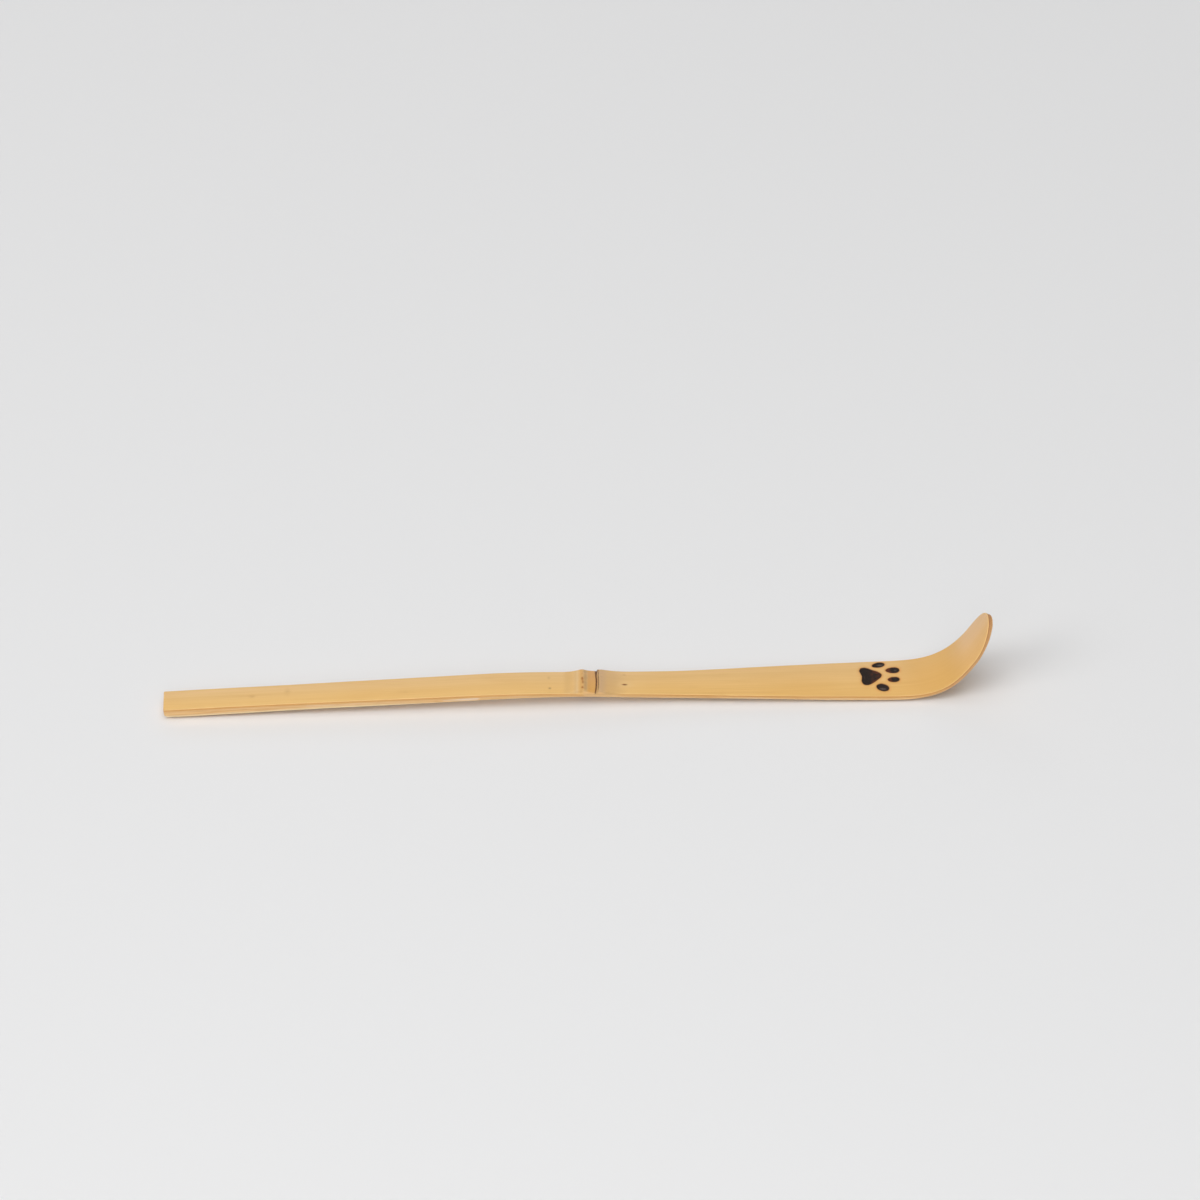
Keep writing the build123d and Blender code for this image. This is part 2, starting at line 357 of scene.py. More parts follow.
class Run:
    """A length of the strip between two lines across it, or up to the rounded tip."""

    def __init__(self, stations, start=None, end=None, tip=False, end_ease=None):
        self.s = stations
        self.start, self.end, self.tip = start, end, tip
        s0, s1 = stations[0], stations[-1]
        reach = 6.0 if s1 - s0 > 20 else (s1 - s0)
        self.w_start = np.clip(1 - (stations - s0) / reach, 0, 1)
        if tip:
            self.w_end = np.clip((stations - 166.0) / (s1 - 166.0), 0, 1)
        else:
            self.w_end = np.clip(1 - (s1 - stations) / reach, 0, 1)
        self.ease = np.zeros_like(stations) if end_ease is None else end_ease

    def at(self, i, eta, inset):
        """Strip coordinates at row i, across position eta, drawn in by inset."""
        s = self.s[i] + 0.0 * eta
        inset = inset + self.ease[i]
        for _ in range(2):
            y = eta * (width(s) / 2 - inset)
            shift = 0.0
            if self.start is not None:
                shift = shift + self.w_start[i] * (self.start(y) - self.s[0])
            if self.tip:
                shift = shift - self.w_end[i] * (inset + TIP_ROUND * (1 - np.sqrt(np.clip(1 - eta * eta, 0, 1))))
            elif self.end is not None:
                shift = shift + self.w_end[i] * (self.end(y) - self.s[-1])
            s = self.s[i] + shift
        return s, eta * (width(s) / 2 - inset)


def strip_piece(name, run, eta, eta_hid, face_fn, rim_fn, rings, hid_fn, hid_inset, material,
                rows, colour, tip, inset_fn, side_of_ring):
    """Closed piece: a fine visible face, a rim of rings around it and a plain face where it meets its neighbour."""
    sh = Sheet()
    n_rows, n_cols = len(run.s), len(eta)
    ii = np.arange(n_rows)[:, None] + 0 * np.arange(n_cols)[None]
    ee = np.broadcast_to(eta[None], ii.shape)
    s, y = run.at(ii, ee, inset_fn(run.s[ii], ee))
    grid = sh.add(s, y, face_fn(s, y, run.ease[ii]))
    sh.quads(grid, np.stack([s, y], -1))
    # the edge: near side, round the tip if there is one, far side
    near = [(i, -1.0, 0) for i in range(n_rows)]
    far = [(i, 1.0, n_cols - 1) for i in range(n_rows)]
    if tip:
        chains = [near + [(n_rows - 1, e, j) for j, e in enumerate(eta)][1:] + far[::-1][1:]]
    else:
        chains = [near, far[::-1]]
    lasts = []
    for chain in chains:
        ci = np.array([c[0] for c in chain])
        ce = np.array([c[1] for c in chain])
        cj = np.array([c[2] for c in chain])
        es, ey = run.at(ci, ce, np.zeros(len(chain)))
        # outward direction of the edge on the strip
        ds, dy = np.gradient(es), np.gradient(ey)
        ln = np.hypot(ds, dy) + 1e-12
        ns, ny = -dy / ln, ds / ln
        sign = np.sign(ny[0] * ce[0])
        ns, ny = ns * sign, ny * sign
        ring_ids = [grid[ci, cj]]
        bs, by = s[ci, cj], y[ci, cj]
        flats = [np.stack([bs, by], -1)]
        for k in range(rings):
            inset, level, reach = rim_fn(k, run.s[ci], ce, es, ey, run.ease[ci])
            rs, ry = run.at(ci, ce, inset)
            end = np.abs(ns) ** 1.5 if tip else np.zeros(len(chain))
            ids = sh.add(rs, ry, level(rs, ry), side_of_ring(k), end)
            ring_ids.append(ids)
            flats.append(np.stack([bs + ns * reach, by + ny * reach], -1))
        ids = np.stack(ring_ids, 1)
        sh.quads(ids, np.stack(flats, 1))
        lasts.append((chain, ids, np.stack(flats, 1)))
    # hidden face
    top = float(max(np.max(np.abs(y)) + 3.2, 0))

    def hid_flat(ss, yy):
        return np.stack([ss, top + 0.06 * yy], -1)

    inner = eta_hid[1:-1]
    last_row = n_rows - 1 if not tip else n_rows - 2
    hi_rows = np.arange(last_row + 1)
    hii = hi_rows[:, None] + 0 * np.arange(len(inner))[None]
    hee = np.broadcast_to(inner[None], hii.shape)
    hs, hy = run.at(hii, hee, hid_inset)
    hgrid = sh.add(hs, hy, hid_fn(hs, hy), 0.0)
    if tip:
        chain, ids, fl = lasts[0]
        near_last = ids[:n_rows, -1]
        far_last = ids[::-1][:n_rows, -1]
        front = ids[n_rows - 1:n_rows - 1 + n_cols, -1]
    else:
        near_last = lasts[0][1][:, -1]
        far_last = lasts[1][1][::-1][:, -1]
    full = np.concatenate([near_last[:last_row + 1, None], hgrid, far_last[:last_row + 1, None]], 1)
    grain = np.concatenate(sh.grain)
    sh.quads(full[:, ::-1], hid_flat(grain[full][..., 0], grain[full][..., 1])[:, ::-1])
    if tip:
        a, b = full[-1], front
        sh.zip(a, np.concatenate([[-1], inner, [1]]), hid_flat(grain[a][:, 0], grain[a][:, 1]),
               b, eta, hid_flat(grain[b][:, 0], grain[b][:, 1]))
    # cut ends
    first_near = lasts[0][1][0]
    first_far = lasts[0][1][-1] if tip else lasts[1][1][-1]
    caps = [(grid[0], first_far, full[0], first_near)]
    if not tip:
        caps.append((grid[-1], lasts[1][1][0], full[-1], lasts[0][1][-1]))
    for number, (edge, fr, hid_row, nr) in enumerate(caps):
        loop = list(edge) + list(fr[1:]) + list(hid_row[::-1][1:-1]) + list(nr[::-1][:-1])
        seen, clean = set(), []
        for v in loop:
            if v not in seen:
                seen.add(v)
                clean.append(v)
        base = (run.s[0] if number == 0 else run.s[-1])
        way = 1 if number == 0 else -1
        # the cut keeps a crisp edge
        gg = grain[clean]
        ids = clean
        for k in range(len(ids)):
            a, b = int(ids[k]), int(ids[(k + 1) % len(ids)])
            sh.crisp.add((min(a, b), max(a, b)))
        mid = sh.add(gg[:, 0].mean(), gg[:, 1].mean(), gg[:, 2].mean(), 1.0, 1.0).ravel()[0]
        flat = np.stack([base + way * (0.3 + 0.5 * (gg[:, 2] - gg[:, 2].min())), top + 1.0 + 0.0 * gg[:, 1] + 0.15 * (gg[:, 1])], -1)
        fm = flat.mean(0)
        for k in range(len(ids)):
            k2 = (k + 1) % len(ids)
            sh.face((mid, ids[k], ids[k2]), (fm, flat[k], flat[k2]), False)
    return sh, colour


# ---------------------------------------------------------------------------
# Colour masks along the strip
# ---------------------------------------------------------------------------
def spot(s, y, at_s, at_y, half_s, half_y):
    return np.exp(-(((s - at_s) / half_s) ** 2 + ((y - at_y) / half_y) ** 2))


def skin_marks(grain, extra):
    s, y, n = grain.T
    top = 1 - step(0.15, 0.6, extra[:, 0])
    c = s - scar_line(y)
    r = s - RIDGE_LEAN * y
    d = mark_distance(s, y)
    ragged = 0.5 + 0.5 * noise(s * 1.3, y * 3.0, 41)
    return {
        # from the near arris (0) to the far one (1); the colours ramped along it paint a sheen, paler and bluer
        # towards the far side
        "across": np.clip(0.5 + y / width(s), 0, 1),
        # the heat of bending left the bend a deeper yellow
        "bend": np.clip(hill(s + 0.25 * y, 166.8, 6.6) + 0.7 * hill(s, 173.0, 4.5), 0, 1),
        "blade": step(99.0, 110.0, s),
        # painted highlight along the softened arrises
        "arris": step(0.02, 0.12, extra[:, 0]) * (1 - step(0.30, 0.60, extra[:, 0])),
        # grey bloom that the sheath protected, strongest next to the scar
        "bloom": top * step(0.25, 0.8, c) * (1 - step(1.8, 9.0 + 1.5 * noise(y * 1.1, 0.7, 42), c)),
        # pale band before the ridge and grey valley behind it. The slope up to the ridge faces the left lamps and
        # carries painted shade: its own mask, and the pale band's colour, are darker than the skin around them
        "rise": top * hill(r, 87.6, 1.15),
        "pale": top * hill(r, 89.22, 0.70) * (0.85 + 0.15 * ragged),
        "line": top * hill(r, 89.36, 0.17) * (0.7 + 0.3 * ragged),
        "grey": top * (hill(r, 91.16, 0.55) * (0.8 + 0.2 * noise(y * 2.5, 1.1, 43))),
        "brown": top * step(91.35, 91.9, r) * (1 - step(-0.05, 0.06, c)),
        # the scar's dark line is its own colour; where it widens towards the far edge, beside the lip's wall, the
        # darkening is painted shade
        "dark": top * (1 - 0.9 * step(-0.10, 0.0, -(width(s) / 2 + y))) * np.clip(
            hill(c, -0.03, 0.14 + 0.12 * step(1.3, 3.0, y)) * (0.84 + 0.22 * noise(y * 3.1, 0.4, 44))
            + 0.88 * hill(c, 0.485 - 0.05 * hill(y, 0.2, 2.2), 0.11) * (0.80 + 0.30 * noise(y * 2.3, 5.4, 45)) * step(-3.6, -3.0, y) * (1 - 0.4 * step(2.2, 3.0, y))
            + 0.34 * hill(c, 0.22, 0.24) * step(2.3, 3.1, y) + 0.24 * step(-0.50, 0.0, c) * (1 - step(0.1, 0.6, c)), 0, 1),
        "lip": top * np.clip(0.75 * hill(c, 0.27, 0.10) + 0.8 * step(0.5, 0.75, c) * (1 - step(0.8, 3.2, c)), 0, 1),
        "crest": top * hill(r, 90.20, 0.40),
        # fresh shaving of the near arris at the joint
        "shave": (y < 0) * step(-0.80, -0.40, -(width(s) / 2 + y) / shave_form(s)) * step(90.0, 91.2, s) * (1 - step(93.8, 96.5, s)) * (1 - 0.75 * hill(c, 0.22, 0.50)),
        "plain": (y < 0) * step(90.0, 91.5, s) * (1 - step(96.5, 100.0, s)),
        "rust": top * np.clip(spot(r, y, 90.45, 0.35, 0.26, 0.46) + 0.60 * spot(r, y, 90.6, -0.70, 0.24, 0.50)
                              + 0.9 * spot(r, y, 90.5, -2.25, 0.26, 0.32) + 0.25 * spot(r, y, 90.45, 1.9, 0.22, 0.35)
                              + 0.22 * hill(r, 90.5, 0.3) * (0.5 + 0.5 * noise(y * 2.9, 2.2, 46)), 0, 1),
        # small blemishes
        "fleck": top * np.clip(0.92 * spot(s, y, 99.66, -0.75, 0.60, 0.24) + 0.28 * spot(s, y, 83.3, 1.35, 0.50, 0.60) + 0.20 * spot(s, y, 83.3, -2.75, 0.45, 0.28)
                               + 0.54 * spot(s, y, 83.4, -1.78, 0.38, 0.36) + 0.30 * spot(s, y, 99.7, 2.2, 0.5, 0.3)
                               + 0.16 * spot(s, y, 121.4, 1.9, 0.5, 0.15) + 0.14 * spot(s, y, 61.2, -1.1, 0.8, 0.12)
                               + 0.14 * spot(s, y, 137.1, -2.3, 0.6, 0.14) + 0.13 * spot(s, y, 43.9, 1.2, 0.7, 0.12), 0, 1),
        "halo": top * np.clip(spot(s, y, 99.66, -0.75, 1.6, 1.0) - spot(s, y, 99.66, -0.75, 0.8, 0.45), 0, 1),
        "smudge": top * np.clip(0.46 * spot(s, y, 19.2, -0.25, 0.9, 0.55) + 0.26 * spot(s, y, 17.3, -0.2, 2.4, 0.7) + 0.50 * spot(s, y, 26.75, 0.6, 0.9, 1.5)
                                + 0.40 * spot(s, y, 92.0, -2.2, 0.45, 0.5) + 0.35 * spot(s, y, 52.0, -1.2, 2.4, 0.7) + 0.3 * spot(s, y, 70.3, 1.6, 2.0, 0.6)
                                + 0.3 * spot(s, y, 114.0, -1.6, 2.6, 0.8), 0, 1) * (0.6 + 0.4 * ragged),
        # scorched skin round the burnt marks
        "scorch": top * np.clip((0.72 * np.exp(-np.maximum(d, 0) / 0.17) + 0.30 * np.exp(-np.maximum(d, 0) / 0.62)) * (0.85 + 0.3 * ragged), 0, 1) * (d < 3),
        "burn": top * (1 - step(-0.03, 0.07 + 0.03 * ragged, d)),
        "upturn": step(168.5, 181.0, s),
    }


def flesh_marks(grain, extra):
    s, y, n = grain.T
    under = 1 - step(0.2, 0.8, extra[:, 0])
    near = (y < 0) * step(0.6, 0.95, extra[:, 0])
    flank = step(0.5, 0.95, extra[:, 0])
    below = -n - rind(s)
    return {
        # denser wood next to the skin, and a painted highlight along the lower arris
        "dense": flank * (1 - step(0.10, 0.55, below)),
        "low": step(0.1, 0.4, extra[:, 0]) * step(-0.46 - 0.16 * (1 - step(42.0, 62.0, s)), -0.24 - 0.12 * (1 - step(42.0, 62.0, s)), -(thick(s) + n)) * (1 - 0.6 * step(87.5, 89.5, s) * (1 - step(96.5, 100.0, s))) * (1 - 0.60 * step(42.0, 62.0, s) + 0.15 * step(138.0, 146.0, s)) * (1 - step(157.0, 165.0, s)),
        # the near side at the joint is cut through the dense wood
        "plain": (y < 0) * flank * step(90.0, 91.5, s) * (1 - step(96.5, 100.0, s)),
        # torn pale fibres on the near side
        "torn": near * np.clip((0.50 * step(59.6, 60.6, s) + 0.50 * step(62.2, 64.5, s)) * (1 - step(67.6, 68.4, s))
                               * hill(n, -1.30 + 0.12 * step(60.0, 66.0, s), 0.30)
                               + 0.5 * step(30.0, 31.0, s) * (1 - step(36.0, 38.0, s)) * hill(n, -1.1, 0.20)
                               + 0.5 * step(126.0, 126.8, s) * (1 - step(129.5, 130.5, s)) * hill(n, -0.8, 0.2), 0, 1),
        # root of the cane's partition wall, cut flush on the underside of the joint
        "root": under * np.clip(hill(s + 0.05 * y * y - 0.4 * noise(y * 0.9, 1.3, 51), 91.6, 1.25), 0, 1),
        "turned": flank * step(165.0, 173.0, s),
    }


# ---------------------------------------------------------------------------
# Materials
# ---------------------------------------------------------------------------
def lin(r, g, b):
    """Screen colour, 0 to 255, to linear."""
    return tuple(((c / 255 + 0.055) / 1.055) ** 2.4 if c > 10 else c / 255 / 12.92 for c in (r, g, b)) + (1.0,)


class Nodes:
    def __init__(self, name):
        self.mat = bpy.data.materials.new(name)
        self.mat.use_nodes = True
        self.tree = self.mat.node_tree
        self.shader = next(n for n in self.tree.nodes if n.type == "BSDF_PRINCIPLED")
        self.grain = self.attr("grain", "Vector")

    def new(self, kind):
        return self.tree.nodes.new(kind)

    def link(self, value, socket):
        if isinstance(value, bpy.types.NodeSocket):
            self.tree.links.new(value, socket)
        else:
            socket.default_value = value

    def attr(self, name, out="Fac"):
        n = self.new("ShaderNodeAttribute")
        n.attribute_name = name
        return n.outputs[out]

    def scaled(self, sx, sy, sn, off=0.0):
        n = self.new("ShaderNodeVectorMath")
        n.operation = "MULTIPLY_ADD"
        self.link(self.grain, n.inputs[0])
        n.inputs[1].default_value = (sx, sy, sn)
        n.inputs[2].default_value = (off, off * 1.7, off * 0.6)
        return n.outputs[0]

    def noise(self, vec, scale=1.0, detail=2.0, rough=0.5, distort=0.0):
        n = self.new("ShaderNodeTexNoise")
        self.link(vec, n.inputs["Vector"])
        n.inputs["Scale"].default_value = scale
        n.inputs["Detail"].default_value = detail
        n.inputs["Roughness"].default_value = rough
        n.inputs["Distortion"].default_value = distort
        return n.outputs["Fac"]

    def voronoi(self, vec, scale=1.0, feature="F1"):
        n = self.new("ShaderNodeTexVoronoi")
        n.feature = feature
        self.link(vec, n.inputs["Vector"])
        n.inputs["Scale"].default_value = scale
        return n.outputs["Distance"]

    def math(self, op, a, b=0.0, clamp=False):
        n = self.new("ShaderNodeMath")
        n.operation = op
        n.use_clamp = clamp
        self.link(a, n.inputs[0])
        self.link(b, n.inputs[1])
        return n.outputs[0]

    def range(self, v, a, b, c=0.0, d=1.0):
        n = self.new("ShaderNodeMapRange")
        n.interpolation_type = "SMOOTHSTEP"
        self.link(v, n.inputs["Value"])
        for key, x in (("From Min", a), ("From Max", b), ("To Min", c), ("To Max", d)):
            n.inputs[key].default_value = x
        return n.outputs["Result"]

    def mix(self, fac, a, b, blend="MIX"):
        n = self.new("ShaderNodeMix")
        n.data_type = "RGBA"
        n.blend_type = blend
        self.link(fac, n.inputs["Factor"])
        self.link(a, n.inputs[6])
        self.link(b, n.inputs[7])
        return n.outputs[2]

    def bump(self, height, strength, distance, normal=None):
        n = self.new("ShaderNodeBump")
        n.inputs["Strength"].default_value = strength
        n.inputs["Distance"].default_value = distance
        self.link(height, n.inputs["Height"])
        if normal is not None:
            self.link(normal, n.inputs["Normal"])
        return n.outputs["Normal"]

    def done(self, colour, rough, normal, specular=0.5):
        self.link(colour, self.shader.inputs["Base Color"])
        self.link(rough, self.shader.inputs["Roughness"])
        if normal is not None:
            self.link(normal, self.shader.inputs["Normal"])
        self.shader.inputs["Specular IOR Level"].default_value = specular
        return self.mat


def skin_material(name):
    """Satin bamboo skin with long fibre streaks, tinted at the joint, the blemishes and the burnt marks."""
    m = Nodes(name)
    wide = m.noise(m.scaled(0.010, 0.75, 0.75, 3.1), 1.0, 2.0, 0.5)
    streak = m.noise(m.scaled(0.022, 2.6, 2.6, 11.0), 1.0, 3.0, 0.55)
    fibre = m.noise(m.scaled(0.085, 11.0, 11.0, 23.0), 1.0, 2.0, 0.6)
    blotch = m.noise(m.scaled(0.045, 0.20, 0.3, 7.7), 1.0, 2.0, 0.5)
    across = m.range(m.attr("across"), 0.05, 0.95)
    # painted sheen: the skin is deeper yellow at the near arris and paler and bluer at the far one
    deeper = m.mix(across, lin(229, 184, 113), lin(227, 187, 128))
    paler = m.mix(across, lin(232, 188, 118), lin(230, 191, 134))
    col = m.mix(m.range(wide, 0.35, 0.65), deeper, paler)
    col = m.mix(m.range(blotch, 0.42, 0.72, 0.0, 0.40), col, m.mix(across, lin(224, 176, 101), lin(222, 178, 115)))
    col = m.mix(m.range(streak, 0.52, 0.74, 0.0, 0.36), col, lin(215, 167, 98))
    col = m.mix(m.range(streak, 0.26, 0.44, 0.30, 0.0), col, lin(238, 199, 138))
    col = m.mix(m.range(fibre, 0.55, 0.78, 0.0, 0.38), col, lin(206, 156, 87))
    col = m.mix(m.range(fibre, 0.22, 0.42, 0.24, 0.0), col, lin(241, 206, 147))
    # the blade side of the joint is a shade deeper
    col = m.mix(m.attr("blade"), col, (0.985, 0.962, 0.895, 1.0), "MULTIPLY")
    # heat of bending: a deeper bend. The upturned end is a little darker, painted shade against the light it catches,
    # and paler and pinker towards its far side, a painted sheen
    col = m.mix(m.range(m.attr("bend"), 0.0, 1.0, 0.0, 0.66), col, lin(213, 165, 92))
    col = m.mix(m.range(m.attr("upturn"), 0.0, 1.0, 0.0, 0.80), col, m.mix(across, lin(226, 178, 111), lin(224, 185, 141)))
    # joint
    col = m.mix(m.range(m.attr("bloom"), 0.0, 1.0, 0.0, 0.75), col, m.mix(across, lin(213, 171, 114), lin(214, 176, 126)))
    # painted shade on the slope up to the ridge; the pale band is the skin's own paler tone, darkened as painted shade
    col = m.mix(m.range(m.attr("rise"), 0.0, 1.0, 0.0, 0.75), col, lin(217, 174, 111))
    col = m.mix(m.range(m.attr("pale"), 0.0, 1.0, 0.0, 0.85), col, lin(215, 176, 120))
    col = m.mix(m.range(m.attr("line"), 0.0, 1.0, 0.0, 0.55), col, lin(227, 193, 144))
    col = m.mix(m.range(m.attr("brown"), 0.0, 1.0, 0.0, 0.84), col, m.mix(across, lin(216, 160, 84), lin(211, 158, 100)))
    col = m.mix(m.range(m.attr("grey"), 0.0, 1.0, 0.0, 0.72), col, lin(190, 152, 110))
    col = m.mix(m.range(m.attr("lip"), 0.0, 1.0, 0.0, 0.75), col, lin(203, 167, 129))
    col = m.mix(m.range(m.attr("crest"), 0.0, 1.0, 0.0, 0.76), col, lin(212, 161, 92))
    col = m.mix(m.range(m.attr("rust"), 0.0, 1.0, 0.0, 0.92), col, lin(170, 104, 42))
    # scar: its own dark colour, with painted shade at its far end
    dark_breakup = m.noise(m.scaled(3.0, 4.5, 3.0, 2.0), 1.0, 3.0, 0.6)
    dark = m.math("MULTIPLY", m.attr("dark"), m.range(dark_breakup, 0.2, 0.7, 0.75, 1.15), True)
    col = m.mix(dark, col, lin(106, 72, 54))
    # blemishes
    col = m.mix(m.range(m.attr("halo"), 0.0, 1.0, 0.0, 0.45), col, lin(233, 198, 142))
    col = m.mix(m.range(m.attr("smudge"), 0.05, 1.0, 0.0, 0.60), col, lin(178, 124, 64))
    col = m.mix(m.range(m.attr("fleck"), 0.05, 0.9, 0.0, 0.95), col, lin(120, 56, 10))
    # burnt edge
    col = m.mix(m.range(m.attr("scorch"), 0.02, 0.45, 0.0, 0.55), col, lin(214, 148, 74))
    col = m.mix(m.range(m.attr("scorch"), 0.35, 1.0, 0.0, 0.80), col, lin(140, 72, 28))
    col = m.mix(m.attr("burn"), col, lin(46, 28, 18))
    # knife-cut side of the skin, denser and browner than its face
    side_streak = m.noise(m.scaled(0.05, 7.0, 9.0, 17.0), 1.0, 3.0, 0.6)
    side_col = m.mix(m.range(side_streak, 0.35, 0.7), lin(241, 179, 99), lin(226, 158, 82))
    side_col = m.mix(m.attr("blade"), side_col, (0.915, 0.85, 0.66, 1.0), "MULTIPLY")
    side_col = m.mix(m.range(m.attr("upturn"), 0.0, 0.6, 0.0, 0.70), side_col, lin(219, 157, 97))
    side_col = m.mix(m.range(m.attr("plain"), 0.0, 1.0, 0.0, 0.85), side_col, lin(240, 196, 136))
    # painted highlight along the arris bevels, left off where the near side at the joint is cut plain
    edge = m.math("MULTIPLY", m.attr("arris"), m.math("SUBTRACT", 1.0, m.attr("plain"), True))
    col = m.mix(m.range(edge, 0.0, 1.0, 0.0, 0.55), col, lin(252, 208, 142))
    col = m.mix(m.range(m.attr("side"), 0.35, 0.80), col, side_col)
    col = m.mix(m.range(m.attr("shave"), 0.0, 1.0, 0.0, 0.85), col, lin(238, 191, 130))
    dots = m.voronoi(m.scaled(0.0, 6.5, 6.5, 0.0), 1.0)
    end_col = m.mix(m.range(dots, 0.12, 0.45), lin(172, 110, 64), lin(194, 135, 84))
    ended = m.math("MULTIPLY", m.attr("cut_end"), m.range(m.attr("side"), 0.3, 0.8), True)
    ended = m.math("MAXIMUM", ended, m.attr("cap"))
    col = m.mix(ended, col, end_col)
    rough = m.range(m.noise(m.scaled(0.06, 1.5, 1.5, 5.0), 1.0, 2.0, 0.5), 0.3, 0.7, 0.40, 0.52)
    rough = m.math("ADD", rough, m.math("MULTIPLY", m.attr("side"), 0.16))
    rough = m.math("ADD", rough, m.math("MULTIPLY", m.attr("bloom"), 0.10), True)
    height = m.math("ADD", m.math("MULTIPLY", fibre, 0.55), m.math("MULTIPLY", streak, 0.45))
    pits = m.noise(m.scaled(1.2, 3.4, 3.4, 29.0), 1.0, 3.0, 0.6)
    height = m.math("ADD", height, m.math("MULTIPLY", m.math("MULTIPLY", pits, 1.4), m.math("ADD", m.attr("dark"), m.attr("brown"), True)))
    height = m.math("ADD", height, m.math("MULTIPLY", m.math("MULTIPLY", side_streak, 1.6), m.attr("side")))
    return m.done(col, rough, m.bump(height, 0.35, 0.00003), 0.42)


def flesh_material(name):
    """Inner wall of the cane: paler, fibrous, with broken dark vessel lines."""
    m = Nodes(name)
    wide = m.noise(m.scaled(0.014, 1.1, 1.4, 13.1), 1.0, 2.0, 0.5)
    strand = m.noise(m.scaled(0.045, 5.2, 6.0, 31.0), 1.0, 3.0, 0.6)
    vessel = m.noise(m.scaled(0.16, 9.0, 10.0, 41.0), 1.0, 2.0, 0.6)
    patch = m.noise(m.scaled(0.11, 1.9, 2.7, 61.0), 1.0, 2.0, 0.55)
    col = m.mix(m.range(wide, 0.35, 0.68), lin(249, 203, 139), lin(251, 209, 151))
    col = m.mix(m.range(patch, 0.52, 0.68, 0.0, 0.60), col, lin(220, 162, 102))
    col = m.mix(m.range(patch, 0.30, 0.44, 0.50, 0.0), col, lin(250, 214, 170))
    band = m.noise(m.scaled(0.020, 1.3, 2.3, 53.0), 1.0, 2.0, 0.55)
    col = m.mix(m.range(band, 0.50, 0.66, 0.0, 0.66), col, lin(226, 170, 108))
    col = m.mix(m.range(band, 0.32, 0.46, 0.50, 0.0), col, lin(250, 220, 180))
    col = m.mix(m.range(strand, 0.50, 0.72, 0.0, 0.60), col, lin(220, 166, 106))
    col = m.mix(m.range(strand, 0.24, 0.42, 0.40, 0.0), col, lin(250, 220, 176))
    col = m.mix(m.range(vessel, 0.60, 0.78, 0.0, 0.60), col, lin(200, 142, 86))
    col = m.mix(m.range(m.attr("torn"), 0.05, 0.9, 0.0, 0.90), col, lin(253, 228, 200))
    col = m.mix(m.range(m.attr("root"), 0.05, 0.9, 0.0, 0.60), col, lin(168, 120, 74))
    root_mottle = m.noise(m.scaled(1.6, 2.2, 1.0, 3.0), 1.0, 3.0, 0.6)
    col = m.mix(m.math("MULTIPLY", m.attr("root"), m.range(root_mottle, 0.5, 0.72), True), col, lin(120, 78, 44))
    col = m.mix(m.range(m.attr("dense"), 0.0, 1.0, 0.0, 0.72), col, lin(234, 178, 108))
    col = m.mix(m.range(m.attr("plain"), 0.0, 1.0, 0.0, 0.80), col, lin(246, 202, 144))
    # painted highlight along the lower arris
    col = m.mix(m.range(m.attr("low"), 0.0, 1.0, 0.0, 0.95), col, lin(255, 230, 182))
    # the side of the upturned end is browner
    col = m.mix(m.range(m.attr("turned"), 0.0, 1.0, 0.0, 0.70), col, lin(226, 168, 115))
    dots = m.voronoi(m.scaled(0.0, 4.2, 4.2, 0.0), 1.0)
    end_col = m.mix(m.range(dots, 0.10, 0.42), lin(168, 112, 70), lin(204, 150, 98))
    ended = m.math("MULTIPLY", m.attr("cut_end"), m.range(m.attr("side"), 0.3, 0.8), True)
    ended = m.math("MAXIMUM", ended, m.attr("cap"))
    col = m.mix(ended, col, end_col)
    rough = m.range(strand, 0.3, 0.7, 0.56, 0.70)
    height = m.math("ADD", m.math("MULTIPLY", strand, 0.8), m.math("MULTIPLY", vessel, 0.5))
    return m.done(col, rough, m.bump(height, 0.5, 0.00004), 0.36)


def char_material(name):
    """Burnt wood: near black with greyer ash patches and spots of painted grey sheen, browner where the iron pressed
    lightly.
    """
    m = Nodes(name)
    ash = m.noise(m.scaled(1.4, 3.2, 1.0, 5.0), 1.0, 4.0, 0.62)
    grainy = m.noise(m.scaled(0.7, 9.0, 1.0, 15.0), 1.0, 3.0, 0.6)
    crack = m.voronoi(m.scaled(2.2, 4.0, 1.0, 9.0), 1.0, "DISTANCE_TO_EDGE")
    col = m.mix(m.range(ash, 0.35, 0.70), lin(31, 20, 14), lin(47, 35, 29))
    col = m.mix(m.range(grainy, 0.5, 0.75, 0.0, 0.45), col, lin(52, 31, 21))
    col = m.mix(m.range(m.attr("brown"), 0.1, 0.9, 0.0, 0.80), col, lin(106, 51, 25))
    # painted sheen: light grey spots on the charred floors
    col = m.mix(m.range(m.attr("ash"), 0.1, 0.9, 0.0, 0.70), col, lin(104, 92, 84))
    col = m.mix(m.range(m.attr("rim"), 0.2, 1.0, 0.0, 0.85), col, lin(22, 12, 8))
    col = m.mix(m.range(crack, 0.02, 0.10, 0.45, 0.0), col, lin(14, 9, 7))
    rough = m.range(ash, 0.3, 0.7, 0.42, 0.66)
    height = m.math("ADD", m.math("MULTIPLY", grainy, 0.8), m.range(crack, 0.0, 0.12, 0.0, 0.5))
    return m.done(col, rough, m.bump(height, 0.6, 0.00005), 0.25)


skin_mat = skin_material("bamboo_skin")
ridge_mat = skin_material("bamboo_joint")
scar_mat = skin_material("bamboo_scar")
flesh_mat = flesh_material("bamboo_inner_wall")
char_mat = char_material("charred_wood")


